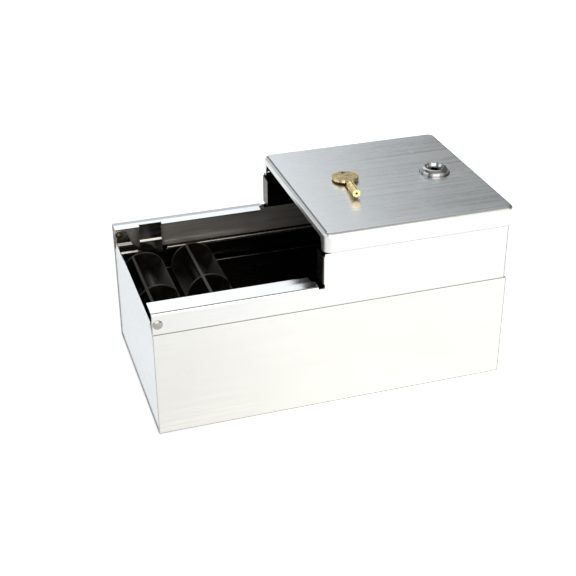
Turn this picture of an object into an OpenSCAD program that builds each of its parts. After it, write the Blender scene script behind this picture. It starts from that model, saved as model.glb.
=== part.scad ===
// Two-roll tissue dispenser with a hinged, locking front, lying on its back.
// X runs along the length from the dispensing end, Y across the width, Z away from the wall plate.
// The origin is the middle of the back face.

/* [Cabinet] */
// Overall length of the closed dispenser
overall_l = 280; // [272:1:300]
// Outside width across the cabinet walls
cab_w = 152; // [150:1:160]
// Thickness of the folded stainless sheet
sheet_t = 0.75; // [0.6:0.05:0.8]
// Height of the cabinet walls, tucked inside the door
cab_wall_h = 100; // [98:0.5:101]
// Height of the panel across the dispensing end
end_panel_h = 91; // [88:0.5:92]
// Height of the panel across the lock end
top_panel_h = 86; // [80:0.5:86]
// Diameter of the four wall screw holes
mount_hole_d = 5.2; // [4.2:0.1:6.5]
// Spacing of the wall screw holes along the length
mount_pitch_x = 200; // [150:5:220]
// Spacing of the wall screw holes across the width
mount_pitch_y = 100; // [70:5:110]

/* [Door] */
// Height of the lower edge of the door sides
seam_z = 86.8; // [86.4:0.1:88]
// Height of the rails beside the dispensing opening
rail_z = 105.5; // [103:0.5:108]
// Width of the lip folded inwards along each rail
rail_lip_w = 15.8; // [14:0.2:17]
// Length of the low part of the door, beside the opening
open_l = 128; // [120:1:135]
// Height of the front of the pan
front_z = 147.2; // [145:0.2:150]
// Depth of the pan's skirt on three sides
skirt_h = 15.5; // [12:0.5:18]
// Depth of the pan's lip over the opening
lip_h = 6; // [4:0.5:8]
// Radius of the pan's upright corners
pan_corner_r = 6; // [5:0.5:8]
// Radius of the pan's rolled front edge
pan_bend_r = 3; // [2:0.5:4]
// Width of the fold that stiffens each step edge
step_fold_w = 14; // [10:1:18]
// Radius of the door sides' corners under the pan
step_corner_r = 2; // [1:0.5:4]

/* [Hinge] */
// Distance of the hinge axis from the dispensing end
hinge_x = 4.2; // [4:0.1:4.6]
// Height of the hinge axis
hinge_z = 95.4; // [94:0.1:96]
// Diameter of the tubular pivot rivets
rivet_d = 4.8; // [4:0.1:5.4]

/* [Spindles] */
// Height of the spindle axes above the back face
spindle_z = 68; // [67:0.5:69]
// Radius of the rollers' discs and ribs
roller_r = 17.8; // [16:0.1:18]
// Length of the ribbed body of a roller
roller_l = 114; // [110:1:116]
// Diameter of the roller journals
journal_d = 9; // [7:0.1:10]
// Resting place of the lower spindle
lower_x = 19.6; // [19.6:0.1:20.5]
// Resting place of the upper spindle
upper_x = 61.2; // [60:0.1:70]
// Turn of the lower roller at rest
lower_turn = 61; // [0:1:89]
// Turn of the upper roller at rest
upper_turn = -16; // [-89:1:89]

/* [Lock] */
// Distance of the lock axis from the dispensing end
lock_x = 248; // [244:0.5:250]
// Diameter of the domed lock head
lock_head_d = 22.8; // [20:0.2:26]
// Height of the domed lock head
lock_head_h = 4.4; // [3:0.1:6]

/* [Hidden] */
$fn = 48;

eps = 0.01;
slide_gap = 0.1;                                // sheet to sheet, where one slides on another
cab_l = overall_l - 2 * sheet_t - slide_gap;    // cabinet inside the door's end
cab_in_y = cab_w / 2 - sheet_t;                 // inner face of a cabinet wall
skin_in_y = cab_w / 2 + slide_gap;              // inner face of a door side
skin_y = skin_in_y + sheet_t;                   // outer face of a door side
skin_r = pan_corner_r - sheet_t;                // outer radius of the wrapper's corners
end_inset = 0.6;                                // end panels sit just inside the wall ends
panel_gap = 0.9;                                // bottom end panel to cabinet wall
upstand_h = 7;                                  // top end panel, inside the door
fold_r = 1.4;                                   // outer radius of a sheet fold
relief_z = 82.5;                                // cut corners of the bottom end panel
relief_r = 1.5;
relief_w = [10.2, 4.2];
pan_x = open_l + 1;                             // open end of the pan
pan_y = skin_y + sheet_t;                       // outer face of the skirt
skirt_z = front_z - skirt_h;
under_pan = front_z - sheet_t;                  // inner face of the pan's front
wrap_top = front_z - 4;                         // top of the wrapper, hidden in the pan
rail_lip_end = open_l - 3.4;                    // the rail lip stops short of the step
lip_slope_w = 7.8;                              // outer part of the lip, which slopes a little
lip_slope = 0.8;
hole_gap = 0.05;                                // running clearance, on radius

track_y = 69.1;                                 // inner face of a track plate
hem_t = 1.6;                                    // folded top edge of a track plate
hem_h = 1.6;
track_top = spindle_z + 11.3;
shoe_w = 14.4;                                  // neck of a guide shoe
shoe_in_r = 9.6;                                // flange of a shoe inside the track plate
shoe_out_r = 8.7;                               // flange of a shoe behind the track plate
slot_h = shoe_w + 0.2;
slot_x0 = lower_x - slot_h / 2;
slot_x1 = 215;
notch_lo = [22.4, 40.2];                        // lower entry, at the slot
notch_lo_top = [19.4, 44];                      // lower entry, at the top edge
notch_hi = [slot_x1 - 15.6, slot_x1];           // upper entry, at the slot
notch_hi_top = [notch_hi[0] - 3.5, slot_x1 + 3.5];
bracket_lo = track_y + hem_t;                   // lower part of the hinge bracket, behind the hem
bracket_hi = bracket_lo + 1.4;                  // upper part, nearer to the wall
bracket_fold_z = [86, 87.6];
shoe_clear = 0.4;                               // from a shoe's outer flange to the bracket above it
rivet_head_r = 3.7;
rivet_bore_r = 1.7;
rivet_roll = 0.5;                               // how far the rolled end spreads

tab_x = 19.7;                                   // retainer tab, over the lower entry
tab_w = 18.2;
tab_y = skin_y - rail_lip_w + 4.05;             // upper plate of the tab
tongue_y = tab_y - 1.7;                         // lower tongue of the tab
tab_jog_z = rail_z - 14.7;
tongue_z = rail_z - 26;

play_y = 2.2;                                   // how far each spindle has shifted sideways
tip_y = 72.4;                                   // end of a journal from the roller's middle
disc_t = 1.6;
rib_t = 2.2;
hub_r = 5.5;
boss_r = 7;                                     // shoulder at each end of a roller
boss_l = 3;

barrel_r = 9.3;                                 // lock barrel
barrel_flat = 8.2;
barrel_z = front_z - 20;                        // lower end of the barrel
base_ring_t = 0.4;
head_z = front_z + base_ring_t;
plug_r = 6;
plug_face_z = head_z + 2;
keyway_r = 3.6;
keyway_depth = 12;
cam_t = 2;
cam_z = barrel_z - 0.15 - cam_t;
cam_reach = 20;
cam_w = 12;
tail_w = 7;
pin_count = 7;
pin_r = 0.55;
pin_circle_r = 2.6;                             // circle that the lock's pins stand on
washer_t = 0.8;
tooth_washer_r = 12.5;
nut_r = 14;
nut_t = 4;
cam_washer_r = 5.6;
screw_head_r = 4;
screw_head_h = 2.4;

key_r = 3.1;                                    // key barrel
key_l = 48;
bow_r = 10.6;
bow_t = 2.3;
collar_y = 19.6;                                // the key rests on its collar and its bow
collar_r = key_r + 0.15;
collar_w = 2.8;
neck_w = 5.2;
key_tip = [171.3, -28.2];                       // where the key lies on the pan
key_swing = -6.7;
key_lean = -asin((collar_r - bow_t / 2) / (key_l - collar_y));
key_lift = 0.1;                                 // clearance under the resting key

// ---------- helpers ----------

// Places a child measured from the dispensing end.
module from_end() translate([-overall_l / 2, 0, 0]) children();

// Extrudes a YZ outline along X.
module along_x(x0, x1) translate([x0, 0, 0]) rotate([90, 0, 90]) linear_extrude(x1 - x0) children();

// Extrudes an XZ outline from y0 to y1.
module along_y(y0, y1) translate([0, y1, 0]) rotate([90, 0, 0]) linear_extrude(y1 - y0) children();

// Both mirror images across the middle plane.
module both_sides() { children(); mirror([0, 1, 0]) children(); }

// A cylinder along Y from y0 to y1.
module rod_y(r, y0, y1) translate([0, y1, 0]) rotate([90, 0, 0]) cylinder(r = r, h = y1 - y0);

// A rectangle from the origin with a rounded corner there.
module corner_square(a, b, r) {
  translate([r, 0]) square([a - r, b]);
  translate([0, r]) square([a, b - r]);
  translate([r, r]) circle(r);
}

// A folded angle of sheet: its outer corner is at the origin, its legs run along +x and +y.
module folded_angle(a, b, r) {
  difference() {
    corner_square(a, b, r);
    translate([sheet_t, sheet_t]) corner_square(a, b, r - sheet_t);
  }
}

// The outline of a tray's section, open at the top.
module round_bottom(w, h, r) {
  translate([-w / 2 + r, 0]) square([w - 2 * r, h]);
  translate([-w / 2, r]) square([w, h - r]);
  for (s = [-1, 1]) translate([s * (w / 2 - r), r]) circle(r);
}

// ---------- cabinet ----------

module shell_section() {
  difference() {
    round_bottom(cab_w, cab_wall_h, fold_r);
    translate([0, sheet_t]) round_bottom(cab_w - 2 * sheet_t, cab_wall_h, fold_r - sheet_t);
  }
}

module cabinet_shell() color("gainsboro") from_end() difference() {
  along_x(0, cab_l) shell_section();
  // the walls inside the door stop short of its rounded corners
  translate([cab_l - pan_corner_r, -cab_w, top_panel_h + 0.4])
    cube([pan_corner_r + 1, 2 * cab_w, cab_wall_h]);
  for (sx = [-1, 1], sy = [-1, 1])
    translate([overall_l / 2 + sx * mount_pitch_x / 2, sy * mount_pitch_y / 2, -1])
      cylinder(d = mount_hole_d, h = 3);
  translate([hinge_x, 0, hinge_z]) rod_y(rivet_d / 2 + hole_gap, -cab_w, cab_w);
  // rounded upper corner beside the hinge
  along_y(-cab_w, cab_w) difference() {
    translate([-1, cab_wall_h - 3]) square([4, 4]);
    translate([3, cab_wall_h - 3]) circle(3);
  }
}

module bottom_end_panel() color("aliceblue") from_end() difference() {
  translate([end_inset, -cab_in_y, sheet_t]) cube([sheet_t, 2 * cab_in_y, end_panel_h - sheet_t]);
  both_sides() {
    translate([0, cab_in_y - panel_gap, 4]) cube([3, 2, end_panel_h]);
    along_x(0, 3) polygon([
      [cab_in_y - relief_w[0], end_panel_h + 1], [cab_in_y - relief_w[0], end_panel_h],
      [cab_in_y - relief_w[1], relief_z], [cab_in_y + 1, relief_z], [cab_in_y + 1, end_panel_h + 1]
    ]);
    translate([0, cab_in_y - relief_r - panel_gap, relief_z]) rotate([0, 90, 0])
      cylinder(r = relief_r, h = 3);
  }
}

// Its upper edge stands up inside the door, clear of the door's rounded corners.
module top_end_panel() color("gainsboro") from_end() {
  translate([cab_l - end_inset - sheet_t, -cab_in_y, sheet_t])
    cube([sheet_t, 2 * cab_in_y, top_panel_h - sheet_t]);
  translate([cab_l - end_inset, 0, top_panel_h + upstand_h]) rotate([90, 0, 0])
    linear_extrude(2 * (cab_in_y - pan_corner_r), center = true) mirror([1, 0]) mirror([0, 1])
      folded_angle(5, upstand_h + 1, fold_r);
}

// Keeper for the lock's cam: a folded strip standing on the top end panel.
module strike_bracket() color("silver") {
  foot_x = cab_l - end_inset - sheet_t;
  t = 1.2;
  post_x = lock_x + 22;
  lip_x = lock_x + 14.5;
  shelf_z = top_panel_h - 8;
  lip_z = cam_z + cam_t + 0.9;
  from_end() along_y(-18, 18) polygon([
    [foot_x, 58], [foot_x, shelf_z], [post_x + t, shelf_z], [post_x + t, lip_z + t],
    [lip_x, lip_z + t], [lip_x, lip_z], [post_x, lip_z], [post_x, shelf_z - t],
    [foot_x - t, shelf_z - t], [foot_x - t, 58]
  ]);
}

// Part of the track's outline above the slot, from x pair `low` up to x pair `high`.
module above_slot(low, high) {
  z0 = spindle_z + slot_h / 2;
  polygon([[low[0], z0], [low[1], z0], [high[1], track_top + 1], [high[0], track_top + 1]]);
}

// The plate is open from the lower entry to the upper one; the guide fills the middle of the gap.
module track_plate() from_end() difference() {
  along_x(2.2, cab_l - 2) {
    translate([track_y, sheet_t]) square([sheet_t, track_top - sheet_t]);
    translate([track_y, sheet_t]) square([cab_in_y - track_y - fold_r, sheet_t]);
    translate([track_y, track_top - hem_h]) square([hem_t, hem_h]);
  }
  along_y(track_y - 1, cab_in_y - 1) {
    translate([slot_x0, spindle_z - slot_h / 2]) square([slot_x1 - slot_x0, slot_h + eps]);
    above_slot([notch_lo[0], notch_hi[1]], [notch_lo_top[0], notch_hi_top[1]]);
  }
}

module track_plate_far() color("dimgray") track_plate();
module track_plate_near() color("dimgray") mirror([0, 1, 0]) track_plate();

// Upper edge of the slot between the entries, carried by a flange welded to the wall.
module track_guide() {
  flange_z = track_top - hem_h - sheet_t;
  weld_h = 4;
  from_end() {
    intersection() {
      along_x(notch_lo[0], notch_hi[1]) {
        translate([track_y, spindle_z]) square([sheet_t, track_top - spindle_z]);
        translate([track_y, track_top - hem_h]) square([hem_t, hem_h]);
      }
      along_y(track_y - 1, track_y + hem_t + 1)
        above_slot([notch_lo[1], notch_hi[0]], [notch_lo_top[1], notch_hi_top[0]]);
    }
    along_x(notch_lo_top[1], notch_hi_top[0]) {
      translate([track_y, flange_z]) square([cab_in_y - track_y - slide_gap, sheet_t]);
      translate([cab_in_y - slide_gap - sheet_t, flange_z + sheet_t - weld_h]) square([sheet_t, weld_h]);
    }
  }
}

module track_guide_far() color("dimgray") track_guide();
module track_guide_near() color("dimgray") mirror([0, 1, 0]) track_guide();

// Joggled plate that carries the hinge rivet; its foot is welded behind the hem of the track.
module hinge_bracket() {
  top = cab_wall_h - 1.5;
  low = spindle_z + shoe_out_r + shoe_clear;
  z0 = bracket_fold_z[0];
  z1 = bracket_fold_z[1];
  from_end() difference() {
    intersection() {
      along_x(0, 25) polygon([
        [bracket_lo, low], [bracket_lo, z0], [bracket_hi, z1], [bracket_hi, top + 1],
        [bracket_hi + sheet_t, top + 1], [bracket_hi + sheet_t, z1 - 0.2],
        [bracket_lo + sheet_t, z0 - 0.2], [bracket_lo + sheet_t, low]
      ]);
      along_y(bracket_lo - 1, cab_in_y) polygon([
        [2, low - 1], [2, top], [8.6, top], [10.2, top - 1.1], [14, z1], [14.6, z0], [18.9, z0 - 3.6],
        [19.1, low - 1]
      ]);
    }
    translate([hinge_x, 0, hinge_z]) rod_y(rivet_d / 2 + hole_gap, 0, cab_w);
  }
}

module hinge_bracket_far() color("gray") hinge_bracket();
module hinge_bracket_near() color("gray") mirror([0, 1, 0]) hinge_bracket();

module pivot_spacers() color("silver") from_end() both_sides()
  translate([hinge_x, 0, hinge_z]) difference() {
    rod_y(rivet_d / 2 + 1.1, bracket_hi + sheet_t, cab_in_y);
    rod_y(rivet_d / 2 + hole_gap, bracket_hi, cab_w);
  }

// Tubular rivets: domed head outside the door, rolled end inside the bracket.
module pivot_rivets() color("darkkhaki") from_end() both_sides()
  translate([hinge_x, 0, hinge_z]) rotate([-90, 0, 0]) rotate_extrude() difference() {
    union() {
      translate([0, bracket_hi - 0.9]) square([rivet_d / 2, skin_y + 0.1 - bracket_hi + 0.9]);
      translate([0, bracket_hi - 0.9]) square([rivet_d / 2 + rivet_roll, 0.85]);
      translate([0, skin_y + 0.1]) intersection() {
        square([rivet_head_r, 1.3]);
        translate([0, -4.7]) circle(6);
      }
    }
    translate([-1, bracket_hi - 2]) square([rivet_bore_r + 1, skin_y - bracket_hi + 1.4]);
  }

// ---------- door ----------

// Plan outline of the tall part of the wrapper, inset by d.
module wrap_plan(d) {
  x1 = overall_l - sheet_t - d;
  w = skin_y - d;
  r = skin_r - d;
  translate([open_l - 1, -w]) square([x1 - r - open_l + 1, 2 * w]);
  translate([open_l - 1, -w + r]) square([x1 - open_l + 1, 2 * (w - r)]);
  for (s = [-1, 1]) translate([x1 - r, s * (w - r)]) circle(r);
}

// Section of a rail: x runs inwards from the door's outer face, y down from the top.
module rail_section() {
  t = sheet_t;
  drop = rail_z - seam_z;
  polygon([
    [0, drop], [0, lip_slope + 1.5], [0.4, lip_slope + 0.5], [1.4, lip_slope], [lip_slope_w, 0],
    [rail_lip_w, 0], [rail_lip_w, t], [lip_slope_w, t], [1.5, lip_slope + t],
    [1.1, lip_slope + t + 0.2], [t, lip_slope + t + 0.9], [t, drop]
  ]);
}

// One side's rail: the low skin with its lip folded inwards.
module rail() {
  difference() {
    along_x(0, rail_lip_end) translate([skin_y, rail_z]) mirror([1, 0]) mirror([0, 1]) rail_section();
    // the inner half of the lip stops a little sooner, with a slanted end
    translate([0, 0, rail_z - 2]) linear_extrude(3) polygon([
      [rail_lip_end - 2.6, skin_y - 8.4], [rail_lip_end + 1, skin_y - 7.6],
      [rail_lip_end + 1, 0], [rail_lip_end - 4.5, 0], [rail_lip_end - 3.4, skin_y - rail_lip_w]
    ]);
  }
  translate([rail_lip_end - eps, skin_in_y, seam_z])
    cube([open_l - rail_lip_end + 2, sheet_t, rail_z - seam_z - 2.6]);
}

// Fold along the edge of the step, from the rail up to the rounded corner.
module step_fold() {
  z0 = rail_z + 0.8;
  z1 = skirt_z - 0.6 - step_corner_r;
  translate([open_l, skin_y, z0]) mirror([0, 1, 0]) linear_extrude(z1 - z0)
    folded_angle(12, step_fold_w, fold_r);
}

module door_wrapper() color("whitesmoke") from_end() difference() {
  union() {
    difference() {
      translate([0, 0, seam_z]) linear_extrude(wrap_top - seam_z) difference() {
        wrap_plan(0);
        wrap_plan(sheet_t);
      }
      // square off the open end and clear the pan's rounded corner
      translate([0, -cab_w, seam_z - 1]) cube([open_l + 6, 2 * cab_w, wrap_top]);
    }
    both_sides() {
      rail();
      step_fold();
      along_y(skin_in_y, skin_y) difference() {
        translate([open_l + fold_r, seam_z]) square([7, wrap_top - seam_z]);
        translate([open_l, skirt_z - 0.6]) square([pan_corner_r + 0.4, wrap_top]);
        difference() {
          translate([open_l - 1, skirt_z - 0.6 - step_corner_r]) square(step_corner_r + 1);
          translate([open_l + step_corner_r, skirt_z - 0.6 - step_corner_r]) circle(step_corner_r);
        }
      }
    }
  }
  translate([hinge_x, 0, hinge_z]) rod_y(rivet_d / 2 + hole_gap, -cab_w, cab_w);
  // the far rail lip is notched round its retainer tab
  translate([tab_x - 0.1, 0, rail_z - 3]) cube([tab_w + 0.2, tab_y + sheet_t, 6]);
}

// A block with the pan's rounded corners and rolled front edge, inset by d.
module pan_block(d) {
  rc = pan_corner_r - d;
  rb = pan_bend_r - d;
  hull() for (x = [pan_x + pan_corner_r, overall_l - pan_corner_r])
    both_sides() translate([x, pan_y - pan_corner_r, 0]) {
      translate([0, 0, skirt_z - 2 * d]) cylinder(r = rc, h = 2, $fn = 40);
      translate([0, 0, front_z - d - rb]) rotate_extrude($fn = 40) {
        translate([rc - rb, 0]) intersection() { circle(rb, $fn = 32); square(rb); }
        square([rc - rb, rb]);
      }
    }
}

module door_front_pan() color("lightsteelblue") from_end() difference() {
  pan_block(0);
  pan_block(sheet_t);
  // shallow lip over the opening, stepping down to the skirt at the corners
  w = pan_y - pan_corner_r - 0.4;
  translate([pan_x - 1, 0, 0]) rotate([90, 0, 90]) linear_extrude(pan_corner_r - 1) polygon([
    [-w, skirt_z - 5], [-w + 3.5, front_z - lip_h], [w - 3.5, front_z - lip_h], [w, skirt_z - 5]
  ]);
  translate([lock_x, 0, front_z - 5]) cylinder(r = barrel_r + hole_gap, h = 10);
}

// Z-shaped tab hanging from the rail lip; it covers the lower entry of the track.
module retainer_tab(top) from_end() along_x(tab_x, tab_x + tab_w) {
  translate([tab_y, tab_jog_z]) square([sheet_t, top - tab_jog_z]);
  translate([tongue_y, tab_jog_z - sheet_t]) square([tab_y + sheet_t - tongue_y, sheet_t]);
  translate([tongue_y, tongue_z]) square([sheet_t, tab_jog_z - tongue_z]);
}

// The far tab ends flush with the lip, the near one under it.
module retainer_tab_far() color("silver") retainer_tab(rail_z);
module retainer_tab_near() color("silver") mirror([0, 1, 0]) retainer_tab(rail_z - sheet_t);

// ---------- lock ----------

module at_lock() from_end() translate([lock_x, 0, 0]) children();

module lock_housing() color("silver") at_lock() difference() {
  union() {
    intersection() {
      translate([0, 0, barrel_z]) cylinder(r = barrel_r, h = head_z - barrel_z + 1);
      translate([-barrel_flat, -barrel_r, barrel_z]) cube([2 * barrel_flat, 2 * barrel_r, 30]);
    }
    // domed head
    translate([0, 0, head_z]) rotate_extrude() {
      square([lock_head_d / 2 - 0.5, 1]);
      translate([lock_head_d / 2 - 1, 0.6]) circle(1);
      intersection() {
        translate([lock_head_d / 2 - 3.9, lock_head_h - 3.9]) circle(3.9);
        square([lock_head_d / 2, lock_head_h]);
      }
      square([lock_head_d / 2 - 3.9, lock_head_h]);
    }
  }
  // plug bore, and the dished recess round the keyway
  translate([0, 0, barrel_z - 1]) cylinder(r = plug_r + hole_gap, h = 40);
  translate([0, 0, plug_face_z]) cylinder(r1 = plug_r + 0.3, r2 = plug_r + 1.5, h = 3);
  // the skin of the head starts above the base ring
  translate([0, 0, head_z - 1]) difference() {
    cylinder(r = 20, h = 1);
    translate([0, 0, -1]) cylinder(r = barrel_r, h = 3);
  }
}

module lock_base_ring() color("lightgray") at_lock() translate([0, 0, front_z]) difference() {
  cylinder(r = lock_head_d / 2 + 0.9, h = base_ring_t);
  translate([0, 0, -1]) cylinder(r = barrel_r + hole_gap, h = 3);
}

module lock_tooth_washer() color("gray") at_lock() translate([0, 0, under_pan - washer_t]) difference() {
  cylinder(r = tooth_washer_r, h = washer_t);
  translate([0, 0, -1]) cylinder(r = barrel_r + hole_gap, h = 3);
  for (a = [0 : 30 : 330]) rotate(a) translate([tooth_washer_r - 1.3, -0.7, -1]) cube([3, 1.4, 3]);
}

module lock_nut() color("gray") at_lock() translate([0, 0, under_pan - washer_t - nut_t]) difference() {
  cylinder(r = nut_r, h = nut_t, $fn = 6);
  translate([0, 0, -1]) cylinder(r = barrel_r + hole_gap, h = 6);
}

module lock_plug() color("silver") at_lock() difference() {
  union() {
    translate([0, 0, barrel_z]) cylinder(r = plug_r, h = plug_face_z - barrel_z);
    translate([-tail_w / 2, -tail_w / 2, cam_z]) cube([tail_w, tail_w, barrel_z - cam_z + 1]);
  }
  translate([0, 0, plug_face_z - keyway_depth]) difference() {
    cylinder(r = keyway_r, h = keyway_depth + 1);
    cylinder(r = 0.8, h = keyway_depth - 0.6);
  }
  // guide notch of the keyway
  translate([-0.8, 0, plug_face_z - keyway_depth]) cube([1.6, keyway_r + 0.9, keyway_depth + 1]);
  for (a = [0 : 360 / pin_count : 359]) rotate(a)
    translate([pin_circle_r, 0, plug_face_z - keyway_depth - 5]) cylinder(r = pin_r + hole_gap, h = 5.1);
  translate([0, 0, cam_z - 1]) cylinder(r = 2, h = 7);
}

// Spring pins at the bottom of the keyway.
module lock_pins() color("goldenrod") at_lock()
  for (a = [0 : 360 / pin_count : 359]) rotate(a)
    translate([pin_circle_r, 0, plug_face_z - keyway_depth - 4.6]) cylinder(r = pin_r, h = 6.2, $fn = 24);

module lock_cam() color("gray") at_lock() translate([0, 0, cam_z]) difference() {
  union() {
    cylinder(r = cam_w / 2, h = cam_t);
    translate([-cam_w / 2, -cam_reach + 2, 0]) cube([cam_w, cam_reach - 2, cam_t]);
    translate([-cam_w / 2 + 2, -cam_reach, 0]) cube([cam_w - 4, 4, cam_t]);
    for (s = [-1, 1]) translate([s * (cam_w / 2 - 2), -cam_reach + 2, 0]) cylinder(r = 2, h = cam_t);
  }
  translate([-tail_w / 2 - hole_gap, -tail_w / 2 - hole_gap, -1])
    cube([tail_w + 2 * hole_gap, tail_w + 2 * hole_gap, cam_t + 2]);
}

module cam_washer() color("silver") at_lock() translate([0, 0, cam_z - washer_t]) difference() {
  cylinder(r = cam_washer_r, h = washer_t);
  translate([0, 0, -1]) cylinder(r = 2.1, h = 3);
}

module cam_screw() color("gray") at_lock() difference() {
  union() {
    translate([0, 0, cam_z - washer_t - screw_head_h]) cylinder(r = screw_head_r, h = screw_head_h);
    translate([0, 0, cam_z - 1]) cylinder(r = 1.95, h = 6.5);
  }
  translate([0, 0, cam_z - washer_t - screw_head_h - 0.5]) for (a = [0, 90]) rotate(a)
    translate([-2.4, -0.5, 0]) cube([4.8, 1, 1.8]);
}

// ---------- spindles ----------

// A ribbed roller with three discs, and a journal at each end.
module roller(x, y, turn) from_end() translate([x, y, spindle_z]) rotate([0, turn, 0]) {
  for (yc = [-roller_l / 2 + disc_t, disc_t / 2, roller_l / 2])
    rod_y(roller_r, yc - disc_t, yc);
  rod_y(hub_r, -roller_l / 2, roller_l / 2);
  intersection() {
    for (a = [0, 90]) rotate([0, a, 0])
      translate([-rib_t / 2, -roller_l / 2, -roller_r]) cube([rib_t, roller_l, 2 * roller_r]);
    rod_y(roller_r, -roller_l / 2, roller_l / 2);
  }
  rod_y(boss_r, -roller_l / 2 - boss_l, roller_l / 2 + boss_l);
  rod_y(journal_d / 2, -tip_y, tip_y);
}

// Guide shoes: the journals turn in them, and they slide along the track slots.
module shoes(x) from_end() both_sides() translate([x, 0, spindle_z]) difference() {
  union() {
    rod_y(shoe_in_r, track_y - 1.45, track_y - slide_gap);
    translate([-shoe_w / 2, track_y - 0.6, -shoe_w / 2]) cube([shoe_w, sheet_t + 0.8, shoe_w]);
    rod_y(shoe_out_r, track_y + sheet_t + slide_gap, track_y + sheet_t + 1.1);
  }
  rod_y(journal_d / 2 + hole_gap, track_y - 3, track_y + 4);
}

module lower_roller() color([0.08, 0.08, 0.08]) roller(lower_x, -play_y, lower_turn);
module lower_shoes() color([0.16, 0.16, 0.16]) shoes(lower_x);
module upper_roller() color([0.08, 0.08, 0.08]) roller(upper_x, play_y, upper_turn);
module upper_shoes() color([0.16, 0.16, 0.16]) shoes(upper_x);

// ---------- key ----------

module key_flat() {
  // bow, with a hanging hole
  translate([0, key_l - bow_r, 0]) difference() {
    translate([0, 0, -bow_t / 2]) cylinder(r = bow_r, h = bow_t);
    translate([0, bow_r - 3.6, -5]) cylinder(r = 1.5, h = 10);
  }
  // neck, collar and barrel with its pilot hole and grooves
  translate([-neck_w / 2, collar_y - 1, -bow_t / 2]) cube([neck_w, key_l - 2 * bow_r + 3 - collar_y, bow_t]);
  rod_y(collar_r, collar_y - collar_w, collar_y);
  difference() {
    rod_y(key_r, 0, collar_y - collar_w + eps);
    rod_y(0.95, -1, 11);
    for (a = [30 : 60 : 330]) rotate([0, a, 0])
      translate([0, -1, key_r + 0.25]) rotate([-90, 0, 0]) cylinder(r = 0.75, h = 13);
  }
}

module key() color("goldenrod") from_end()
  translate([key_tip[0], key_tip[1], front_z + key_lift]) rotate([0, 0, key_swing])
    translate([0, collar_y, collar_r]) rotate([key_lean, 0, 0]) translate([0, -collar_y, 0]) key_flat();

cabinet_shell();
bottom_end_panel();
top_end_panel();
strike_bracket();
track_plate_near();
track_plate_far();
track_guide_near();
track_guide_far();
hinge_bracket_near();
hinge_bracket_far();
pivot_spacers();
pivot_rivets();
door_wrapper();
door_front_pan();
retainer_tab_near();
retainer_tab_far();
lock_housing();
lock_base_ring();
lock_tooth_washer();
lock_nut();
lock_plug();
lock_pins();
lock_cam();
cam_washer();
cam_screw();
lower_roller();
lower_shoes();
upper_roller();
upper_shoes();
key();
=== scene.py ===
"""Looks of the locking tissue dispenser: materials, detailed pieces, floor, lights and camera."""

import math

import bpy
import bmesh
from mathutils import Matrix, Vector


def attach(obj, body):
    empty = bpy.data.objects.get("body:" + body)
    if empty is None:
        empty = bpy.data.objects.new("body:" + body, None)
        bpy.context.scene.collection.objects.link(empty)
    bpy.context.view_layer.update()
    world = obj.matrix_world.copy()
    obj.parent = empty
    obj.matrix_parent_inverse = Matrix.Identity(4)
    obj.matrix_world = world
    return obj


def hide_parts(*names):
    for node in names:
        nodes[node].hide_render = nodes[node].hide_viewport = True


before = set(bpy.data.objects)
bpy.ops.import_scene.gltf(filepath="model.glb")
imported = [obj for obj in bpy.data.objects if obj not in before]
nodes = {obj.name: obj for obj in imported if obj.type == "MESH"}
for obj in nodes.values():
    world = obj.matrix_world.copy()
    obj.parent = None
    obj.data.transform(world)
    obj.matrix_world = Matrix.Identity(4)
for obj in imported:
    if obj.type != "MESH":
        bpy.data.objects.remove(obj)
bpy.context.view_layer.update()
MM = 0.001


# ---------------------------------------------------------------- materials

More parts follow.
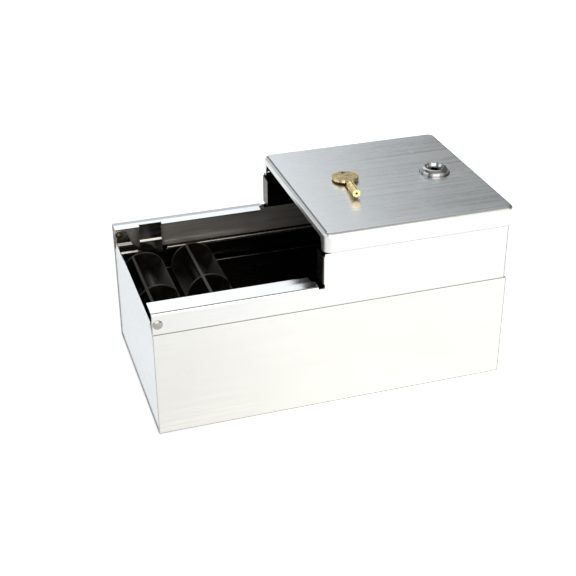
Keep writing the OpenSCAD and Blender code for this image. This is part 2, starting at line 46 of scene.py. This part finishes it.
class Nodes:
    """A material with a few short helpers for building its node tree."""

    def __init__(self, name):
        self.mat = bpy.data.materials.new(name)
        self.mat.use_nodes = True
        self.tree = self.mat.node_tree
        self.bsdf = self.tree.nodes["Principled BSDF"]
        self.coord = self.tree.nodes.new("ShaderNodeTexCoord").outputs["Object"]

    def set(self, **values):
        for key, value in values.items():
            self.bsdf.inputs[key.replace("_", " ")].default_value = value

    def link(self, a, b):
        self.tree.links.new(a, b)

    def noise(self, scale, detail=4.0, rough=0.55, distortion=0.0):
        """Noise with its own scale along each axis, in features per metre."""
        mapping = self.tree.nodes.new("ShaderNodeMapping")
        mapping.inputs["Scale"].default_value = scale
        self.link(self.coord, mapping.inputs["Vector"])
        tex = self.tree.nodes.new("ShaderNodeTexNoise")
        tex.inputs["Scale"].default_value = 1.0
        tex.inputs["Detail"].default_value = detail
        tex.inputs["Roughness"].default_value = rough
        tex.inputs["Distortion"].default_value = distortion
        self.link(mapping.outputs["Vector"], tex.inputs["Vector"])
        return tex.outputs["Fac"]

    def spread(self, fac, low, high, from_low=0.3, from_high=0.7):
        """Maps a factor onto low..high."""
        node = self.tree.nodes.new("ShaderNodeMapRange")
        node.interpolation_type = "SMOOTHSTEP"
        for key, value in zip(("From Min", "From Max", "To Min", "To Max"), (from_low, from_high, low, high)):
            node.inputs[key].default_value = value
        self.link(fac, node.inputs["Value"])
        return node.outputs["Result"]

    def math(self, operation, a, b):
        node = self.tree.nodes.new("ShaderNodeMath")
        node.operation = operation
        for i, value in enumerate((a, b)):
            if isinstance(value, (int, float)):
                node.inputs[i].default_value = value
            else:
                self.link(value, node.inputs[i])
        return node.outputs[0]

    def mix(self, fac, a, b):
        """Blends colour a into colour b."""
        node = self.tree.nodes.new("ShaderNodeMix")
        node.data_type = "RGBA"
        self.link(fac, node.inputs["Factor"])
        for socket, value in ((node.inputs[6], a), (node.inputs[7], b)):
            if isinstance(value, tuple):
                socket.default_value = (*value, 1.0)
            else:
                self.link(value, socket)
        return node.outputs[2]

    def bump(self, *layers):
        """Chains bumps, each (height, strength, distance in metres)."""
        last = None
        for height, strength, distance in layers:
            node = self.tree.nodes.new("ShaderNodeBump")
            node.inputs["Strength"].default_value = strength
            node.inputs["Distance"].default_value = distance
            self.link(height, node.inputs["Height"])
            if last is not None:
                self.link(last, node.inputs["Normal"])
            last = node.outputs["Normal"]
        self.link(last, self.bsdf.inputs["Normal"])

    def colour(self, socket):
        self.link(socket, self.bsdf.inputs["Base Color"])

    def roughness(self, socket):
        self.link(socket, self.bsdf.inputs["Roughness"])


def along(axis, long, fine):
    """Noise scale for streaks that run along one axis."""
    return tuple(long if a == axis else fine for a in "XYZ")


def scaled(colour, factor):
    return tuple(c * factor for c in colour)


def inside(m, low, high):
    """1 inside a box of the row frame given in millimetres, 0 outside it."""
    parts = m.tree.nodes.new("ShaderNodeSeparateXYZ")
    m.link(m.coord, parts.inputs[0])
    total = None
    for axis in range(3):
        above = m.math("GREATER_THAN", parts.outputs[axis], low[axis] * MM)
        below = m.math("LESS_THAN", parts.outputs[axis], high[axis] * MM)
        both = m.math("MULTIPLY", above, below)
        total = both if total is None else m.math("MULTIPLY", total, both)
    return total


def brushed(name, colour, rough, axis="X", contrast=0.10, grain_bump=0.25, smudge=0.05, zones=()):
    """Satin sheet steel: fine grain along one axis, soft streaks and handling marks.

    Each zone is (lowest corner, highest corner, two tones, added roughness), with corners in millimetres."""
    m = Nodes(name)
    m.set(Metallic=1.0)
    fine = m.noise(along(axis, 22, 2600), detail=3)
    streak = m.noise(along(axis, 5, 420), detail=5)
    cloud = m.noise((14, 14, 14), detail=3, distortion=0.6)
    marks = m.noise((60, 75, 60), detail=6, rough=0.7, distortion=1.2)
    grain = m.math("ADD", m.spread(fine, -0.5, 0.5), m.spread(streak, -0.5, 0.5))
    tone = m.mix(m.spread(grain, 0, 1, -0.9, 0.9), scaled(colour, 1 - contrast), colour)
    tone = m.mix(m.spread(cloud, 0, 1), tone, scaled(colour, 1 - contrast * 0.6))
    base = m.spread(grain, rough - 0.05, rough + 0.05, -0.9, 0.9)
    base = m.math("ADD", base, m.spread(marks, 0, smudge, 0.5, 0.72))
    # each zone paints shade or a highlight into the sheet's tone
    for low, high, tones, added in zones:
        zone = inside(m, low, high)
        tone = m.mix(zone, tone, m.mix(m.spread(streak, 0, 1), *tones))
        base = m.math("ADD", base, m.math("MULTIPLY", zone, added))
    m.colour(tone)
    m.roughness(base)
    m.bump((fine, grain_bump, 0.00004), (streak, grain_bump, 0.00006), (cloud, 0.18, 0.0006))
    return m.mat


def plated(name, colour, rough):
    """Zinc-plated steel: slightly mottled, semi-matte."""
    m = Nodes(name)
    m.set(Metallic=1.0)
    mottle = m.noise((420, 420, 420), detail=5)
    cloud = m.noise((70, 70, 70), detail=3)
    m.colour(m.mix(m.spread(mottle, 0, 1), colour, scaled(colour, 0.82)))
    m.roughness(m.math("ADD", m.spread(mottle, rough - 0.05, rough + 0.08), m.spread(cloud, 0, 0.08)))
    m.bump((mottle, 0.25, 0.00008))
    return m.mat


def polished(name, colour, rough):
    """Bright chrome plating with hairline polishing marks."""
    m = Nodes(name)
    m.set(Metallic=1.0)
    hair = m.noise((900, 900, 120), detail=4)
    smear = m.noise((160, 160, 160), detail=4, distortion=1.0)
    m.colour(m.mix(m.spread(smear, 0, 1), colour, scaled(colour, 0.93)))
    m.roughness(m.math("ADD", m.spread(smear, rough, rough + 0.06), m.spread(hair, 0, 0.03)))
    m.bump((hair, 0.06, 0.00003))
    return m.mat


def brass(name, colour, rough):
    """Nickel brass that has been handled: darker in patches, brighter where rubbed."""
    m = Nodes(name)
    m.set(Metallic=1.0)
    patch = m.noise((210, 210, 210), detail=5, distortion=0.8)
    scuff = m.noise((1500, 700, 1500), detail=4)
    tone = m.mix(m.spread(patch, 0, 1), scaled(colour, 0.72), scaled(colour, 1.08))
    m.colour(m.mix(m.spread(scuff, 0, 0.5), tone, scaled(colour, 1.15)))
    m.roughness(m.math("ADD", m.spread(patch, rough - 0.06, rough + 0.1), m.spread(scuff, 0, 0.1)))
    m.bump((scuff, 0.25, 0.00006), (patch, 0.2, 0.00015))
    return m.mat


def moulded(name, colour, rough, texture=0.3, rims=None):
    """Black moulded plastic with a fine spark texture, dust in patches, uneven gloss and, where rims is
    given, a painted highlight on the rims.

    rims is (x, z, radius) in millimetres of an axis along Y: beyond that radius the tone is painted paler, as
    a highlight."""
    m = Nodes(name)
    spark = m.noise((1900, 1900, 1900), detail=3)
    dust = m.noise((85, 60, 85), detail=6, rough=0.65, distortion=0.5)
    flow = m.noise((40, 12, 40), detail=3)
    m.set(Specular_IOR_Level=0.17, Specular_Tint=(1.0, 0.88, 0.76, 1.0))
    tone = m.mix(m.spread(dust, 0, 1, 0.45, 0.8), colour, tuple(c + 0.012 for c in colour))
    if rims is not None:
        parts = m.tree.nodes.new("ShaderNodeSeparateXYZ")
        m.link(m.coord, parts.inputs[0])
        x, z, radius = (value * MM for value in rims)
        across = m.math("SUBTRACT", parts.outputs["X"], x)
        up = m.math("SUBTRACT", parts.outputs["Z"], z)
        square = m.math("ADD", m.math("MULTIPLY", across, across), m.math("MULTIPLY", up, up))
        # painted highlight: paler tone on the rims beyond the radius
        tone = m.mix(m.math("GREATER_THAN", square, radius * radius), tone, PAINTED_RIM_HIGHLIGHT)
    m.colour(tone)
    m.roughness(m.math("ADD", m.spread(flow, rough - 0.05, rough + 0.07), m.spread(dust, 0, 0.14, 0.45, 0.8)))
    m.bump((spark, texture, 0.00005), (flow, 0.15, 0.0003))
    return m.mat


# Black of the rollers, tone of the painted highlight on their edges, radius in millimetres where the edges
# begin, and the places of the roller axes at rest: x and z in millimetres.
ROLLER_BLACK = (0.004, 0.0035, 0.003)
PAINTED_RIM_HIGHLIGHT = (0.045, 0.042, 0.038)
RIM_RADIUS = 17.5
LOWER_AXIS = (-120.4, 68)
UPPER_AXIS = (-78.8, 68)

# Zones of the sheets in the row frame, in millimetres, with two tones and the roughness that they add:
# painted shade on the inner and fold faces, painted half shade on the upper inner faces, painted dark lines
# along the seam under the door and along the lid's bend, painted edge shade along the lower and end edges,
# and painted highlights along the hems.
# painted shade for the inner faces and fold faces that lie in shade
SHADED = ((0.10, 0.088, 0.078), (0.06, 0.053, 0.047))
# painted half shade: lighter than the painted shade, for the upper inner faces; the zones also add real
# roughness
PAINTED_HALF_SHADE = ((0.62, 0.59, 0.56), (0.46, 0.435, 0.41))
# painted dark line: shadow in the seam under the door skin and a dark reflection along the lid's bend
PAINTED_DARK_LINE = ((0.22, 0.205, 0.18), (0.15, 0.14, 0.12))
# painted edge shade: contact shadow along the base and under the door skin, and shade along the end edges
PAINTED_EDGE_SHADE = ((0.52, 0.505, 0.48), (0.40, 0.385, 0.365))
# painted highlight along the tops of the hems
PAINTED_HEM_HIGHLIGHT = ((0.92, 0.91, 0.89), (0.80, 0.79, 0.77))
SHELL_ZONES = (
    ((-139.2, -75.6, 0.3), (139.9, 75.6, 79), SHADED, 0.05),
    ((-139.2, -75.6, 79), (139.9, 75.6, 101), PAINTED_HALF_SHADE, 0.26),
    ((-141, -77, 86.1), (141, 77, 86.85), PAINTED_EDGE_SHADE, 0.1),
    ((-141, -77.5, -1), (141, 77.5, 1.5), PAINTED_EDGE_SHADE, 0.1),
    ((-141, -77, -1), (-139.45, 77, 87), PAINTED_EDGE_SHADE, 0.1),
    ((137.6, -77, -1), (141, 77, 87), PAINTED_EDGE_SHADE, 0.1),
)
DOOR_ZONES = (
    ((-139.9, -76.3, 86), (-11.6, 76.3, 104.6), PAINTED_HALF_SHADE, 0.2),
    ((-11.2, -76.6, 86), (136, 76.6, 146.8), SHADED, 0.05),
    ((136, -73, 86), (139.6, 73, 146.8), SHADED, 0.05),
    ((-12.5, -76.7, 104.9), (-10.4, 76.7, 147), SHADED, 0.1),
    ((-141, -78, 86.7), (141, 78, 87.45), PAINTED_DARK_LINE, 0.15),
    ((-141, -78, 86.7), (-139.5, 78, 104), PAINTED_EDGE_SHADE, 0.1),
    ((138.3, -76.1, 86.7), (141, 76.1, 132), PAINTED_EDGE_SHADE, 0.05),
)
PAN_ZONES = (
    ((-9.35, -73.5, 146), (-8.0, 73.5, 148), PAINTED_DARK_LINE, 0.1),
    ((-20, -79, 131), (141, 79, 132.15), PAINTED_EDGE_SHADE, 0.1),
)
TRACK_ZONES = (
    ((-141, -72, 77.5), (141, 72, 80), PAINTED_HEM_HIGHLIGHT, 0.0),
    ((-141, -72, 60.4), (141, 72, 61), PAINTED_HEM_HIGHLIGHT, 0.0),
)
UPPER_END_ZONES = (((-141, -77, -1), (137.25, 77, 90), SHADED, 0.05),)
# brass tone of the rivets' inner ends, darkened as painted shade
RIVET_ZONES = (((-141, -75.9, 88), (-130, 75.9, 102), ((0.10, 0.07, 0.045), (0.30, 0.22, 0.14)), 0.0),)

MATERIALS = {
    "body": brushed("body_steel", (0.80, 0.795, 0.765), 0.20, zones=SHELL_ZONES),
    "door": brushed("door_steel", (0.80, 0.80, 0.79), 0.20, zones=DOOR_ZONES),
    "front": brushed("front_steel", (0.775, 0.78, 0.775), 0.31, contrast=0.05, grain_bump=0.1, smudge=0.07,
                     zones=PAN_ZONES),
    # cooler and darker than the body steel: painted cool shade on the end panel
    "end": brushed("end_steel_painted_cool_shade", (0.70, 0.735, 0.765), 0.22, axis="Y"),
    "upper_end": brushed("upper_end_steel", (0.76, 0.76, 0.745), 0.22, axis="Y", zones=UPPER_END_ZONES),
    # near black: painted shade on the steel track plates and guides inside the cabinet
    "inner": brushed("inner_steel_painted_shade", (0.12, 0.105, 0.095), 0.24, contrast=0.3, zones=TRACK_ZONES),
    "tab": brushed("tab_steel", (0.80, 0.78, 0.76), 0.17, contrast=0.25),
    "bracket": brushed("bracket_steel", (0.62, 0.60, 0.575), 0.24, contrast=0.3),
    "zinc": plated("zinc_steel", (0.55, 0.56, 0.58), 0.35),
    "chrome": polished("lock_chrome", (0.46, 0.455, 0.46), 0.07),
    # darker than the sheets around it: painted shade on the rivet heads
    "rivet": brushed("rivet_steel_painted_shade", (0.44, 0.43, 0.41), 0.24, contrast=0.3, zones=RIVET_ZONES),
    "key": brass("key_brass", (0.92, 0.72, 0.38), 0.22),
    "lower_abs": moulded("lower_roller_abs", ROLLER_BLACK, 0.34, rims=(*LOWER_AXIS, RIM_RADIUS)),
    "upper_abs": moulded("upper_roller_abs", ROLLER_BLACK, 0.34, rims=(*UPPER_AXIS, RIM_RADIUS)),
    "nylon": moulded("shoe_nylon", (0.010, 0.009, 0.008), 0.45, texture=0.5),
}

LOOK = {
    "cabinet_shell": "body", "bottom_end_panel": "end", "top_end_panel": "upper_end",
    "strike_bracket": "zinc",
    "track_plate_near": "inner", "track_plate_far": "inner", "track_guide_near": "inner",
    "track_guide_far": "inner", "hinge_bracket_near": "bracket", "hinge_bracket_far": "bracket",
    "pivot_spacers": "zinc", "pivot_rivets": "rivet", "door_wrapper": "door", "door_front_pan": "front",
    "retainer_tab_near": "tab", "retainer_tab_far": "tab", "lock_housing": "chrome",
    "lock_base_ring": "chrome", "lock_tooth_washer": "zinc", "lock_nut": "zinc", "lock_plug": "chrome",
    "lock_pins": "key", "lock_cam": "zinc", "cam_washer": "zinc", "cam_screw": "zinc",
    "lower_roller": "lower_abs", "lower_shoes": "nylon", "upper_roller": "upper_abs", "upper_shoes": "nylon",
    "key": "key",
}


for node_name, look in LOOK.items():
    for slot in nodes[node_name].material_slots:
        slot.material = MATERIALS[look]


# ---------------------------------------------------------------- detailed pieces

# bends between faces that meet at more than this many degrees are rounded
SHARP = 30


def stand_in(mesh, node, body):
    """Puts a mesh in the scene in place of a CAD node, on the node's body and with its finish."""
    look = LOOK[node]
    obj = bpy.data.objects.new(node + "_piece", mesh)
    bpy.context.scene.collection.objects.link(obj)
    mesh.materials.clear()
    mesh.materials.append(MATERIALS[look])
    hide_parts(node)
    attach(obj, body)
    return obj


def softened(node, body, width):
    """The CAD node with its sheared or moulded edges rounded by `width` millimetres."""
    mesh = nodes[node].data.copy()
    bm = bmesh.new()
    bm.from_mesh(mesh)
    bmesh.ops.remove_doubles(bm, verts=bm.verts, dist=0.002 * MM)
    bmesh.ops.dissolve_limit(bm, angle_limit=math.radians(0.6), verts=bm.verts, edges=bm.edges)
    bm.to_mesh(mesh)
    bm.free()
    obj = stand_in(mesh, node, body)
    bevel = obj.modifiers.new("edges", "BEVEL")
    bevel.width = width * MM
    bevel.segments = 2
    bevel.limit_method = "ANGLE"
    bevel.angle_limit = math.radians(SHARP)
    bevel.use_clamp_overlap = False
    bevel.miter_outer = "MITER_ARC"
    bevel.harden_normals = True
    obj.data.shade_smooth()
    smooth = obj.modifiers.new("facets", "WEIGHTED_NORMAL")
    smooth.keep_sharp = True


SOFT_EDGES = (
    # node, body, radius of its edges in millimetres
    ("bottom_end_panel", "cabinet", 0.14), ("track_plate_near", "cabinet", 0.14),
    ("track_plate_far", "cabinet", 0.14), ("track_guide_near", "cabinet", 0.14),
    ("track_guide_far", "cabinet", 0.14), ("hinge_bracket_near", "cabinet", 0.14),
    ("hinge_bracket_far", "cabinet", 0.14), ("retainer_tab_near", "door", 0.16),
    ("retainer_tab_far", "door", 0.16), ("lower_roller", "lower_spindle", 0.3),
    ("upper_roller", "upper_spindle", 0.3),
)
for node_name, body_name, radius in SOFT_EDGES:
    softened(node_name, body_name, radius)


# ---------------------------------------------------------------- floor, light, camera

# Light that the floor paper gives off at the left and at the right of the object, and the x in metres where
# each is reached.
FLOOR_GLOW = (0.50, 0.78)
GLOW_SPAN = (-0.16, 0.06)
WHITE = (1.0, 1.0, 1.0, 1.0)


def plane(name, size, centre):
    mesh = bpy.data.meshes.new(name)
    h = size / 2
    mesh.from_pydata([(-h, -h, 0), (h, -h, 0), (h, h, 0), (-h, h, 0)], [], [(0, 1, 2, 3)])
    obj = bpy.data.objects.new(name, mesh)
    obj.location = centre
    bpy.context.scene.collection.objects.link(obj)
    return obj


def glowing_paper():
    """White backdrop paper that glows more strongly at the right: painted light."""
    m = Nodes("floor_paper")
    m.set(Roughness=0.9)
    paper = m.noise((30, 30, 30), detail=4)
    m.colour(m.mix(m.spread(paper, 0, 1), (0.84, 0.84, 0.84), (0.86, 0.86, 0.86)))
    m.set(Emission_Color=WHITE)
    across = m.tree.nodes.new("ShaderNodeSeparateXYZ")
    m.link(m.coord, across.inputs[0])
    m.link(m.spread(across.outputs["X"], *FLOOR_GLOW, *GLOW_SPAN), m.bsdf.inputs["Emission Strength"])
    return m.mat


floor = plane("floor", 14.0, (0, 2.0, -0.0002))
floor.data.materials.append(glowing_paper())


def area_light(name, at, target, size, power, colour):
    data = bpy.data.lights.new(name, "AREA")
    data.shape = "RECTANGLE"
    data.size, data.size_y = size
    data.energy = power
    data.color = colour
    obj = bpy.data.objects.new(name, data)
    obj.location = at
    obj.rotation_euler = (Vector(target) - Vector(at)).to_track_quat("-Z", "Y").to_euler()
    bpy.context.scene.collection.objects.link(obj)


area_light("front_box", (-0.3, -2.8, 1.1), (0, -0.3, 0), (3.0, 1.6), 26, (1.0, 0.98, 0.94))
area_light("left_box", (-2.8, 0.4, 1.1), (-0.3, 0, 0), (2.6, 1.6), 18, (0.94, 0.97, 1.0))


def sky_lobe(tree, towards, inner, outer):
    """1 within `inner` degrees of a direction, falling smoothly to 0 at `outer` degrees."""
    azimuth, elevation = (math.radians(a) for a in towards)
    centre = Vector((math.sin(azimuth) * math.cos(elevation), math.cos(azimuth) * math.cos(elevation),
                     math.sin(elevation)))
    direction = tree.nodes.new("ShaderNodeTexCoord").outputs["Generated"]
    dot = tree.nodes.new("ShaderNodeVectorMath")
    dot.operation = "DOT_PRODUCT"
    tree.links.new(direction, dot.inputs[0])
    dot.inputs[1].default_value = centre
    lift = tree.nodes.new("ShaderNodeMapRange")
    lift.interpolation_type = "SMOOTHSTEP"
    ends = (math.cos(math.radians(outer)), math.cos(math.radians(inner)), 0.0, 1.0)
    for key, value in zip(("From Min", "From Max", "To Min", "To Max"), ends):
        lift.inputs[key].default_value = value
    tree.links.new(dot.outputs["Value"], lift.inputs["Value"])
    return lift.outputs["Result"]


# Soft boxes and grey flags of the studio: azimuth from +Y towards +X and elevation in degrees, inner and
# outer radius in degrees, colour. Each one covers those before it.
SKY_BASE = (0.175, 0.176, 0.172)
SKY = (
    ((0, 90), 20, 42, (0.46, 0.46, 0.45)),
    ((-20, 8), 33, 42, (0.60, 0.64, 0.675)),
    ((180, 12), 30, 70, (0.96, 0.95, 0.91)),
    ((20, 49), 9, 18, (1.08, 1.14, 1.18)),
    ((4, 35), 10, 21, (1.46, 1.55, 1.62)),
)


def studio_sky():
    """World lit by the lobes of SKY over SKY_BASE."""
    world = bpy.data.worlds.new("studio")
    world.use_nodes = True
    tree = world.node_tree
    last = None
    for towards, inner, outer, colour in SKY:
        layer = tree.nodes.new("ShaderNodeMix")
        layer.data_type = "RGBA"
        if last is None:
            layer.inputs[6].default_value = (*SKY_BASE, 1)
        else:
            tree.links.new(last, layer.inputs[6])
        layer.inputs[7].default_value = (*colour, 1)
        tree.links.new(sky_lobe(tree, towards, inner, outer), layer.inputs["Factor"])
        last = layer.outputs[2]
    tree.links.new(last, tree.nodes["Background"].inputs["Color"])
    return world


bpy.context.scene.world = studio_sky()

# camera: heading from +Y towards +X, dip and tilt, its place in metres and its lens in millimetres
YAW, PITCH, ROLL = math.radians(17.547), math.radians(29.335), math.radians(-0.358)
PLACE = (-0.26241, -0.78361, 0.52498)
LENS = 73.42
ahead = Vector((math.sin(YAW) * math.cos(PITCH), math.cos(YAW) * math.cos(PITCH), -math.sin(PITCH)))
level = Vector((math.cos(YAW), -math.sin(YAW), 0))
upward = level.cross(ahead)
side = level * math.cos(ROLL) + upward * math.sin(ROLL)
upward = side.cross(ahead)
camera_data = bpy.data.cameras.new("camera")
camera_data.sensor_width = 36
camera_data.lens = LENS
camera = bpy.data.objects.new("camera", camera_data)
camera.matrix_world = Matrix((
    (side.x, upward.x, -ahead.x, PLACE[0]),
    (side.y, upward.y, -ahead.y, PLACE[1]),
    (side.z, upward.z, -ahead.z, PLACE[2]),
    (0, 0, 0, 1),
))
bpy.context.scene.collection.objects.link(camera)
bpy.context.scene.camera = camera
bpy.context.scene.view_settings.view_transform = "Standard"
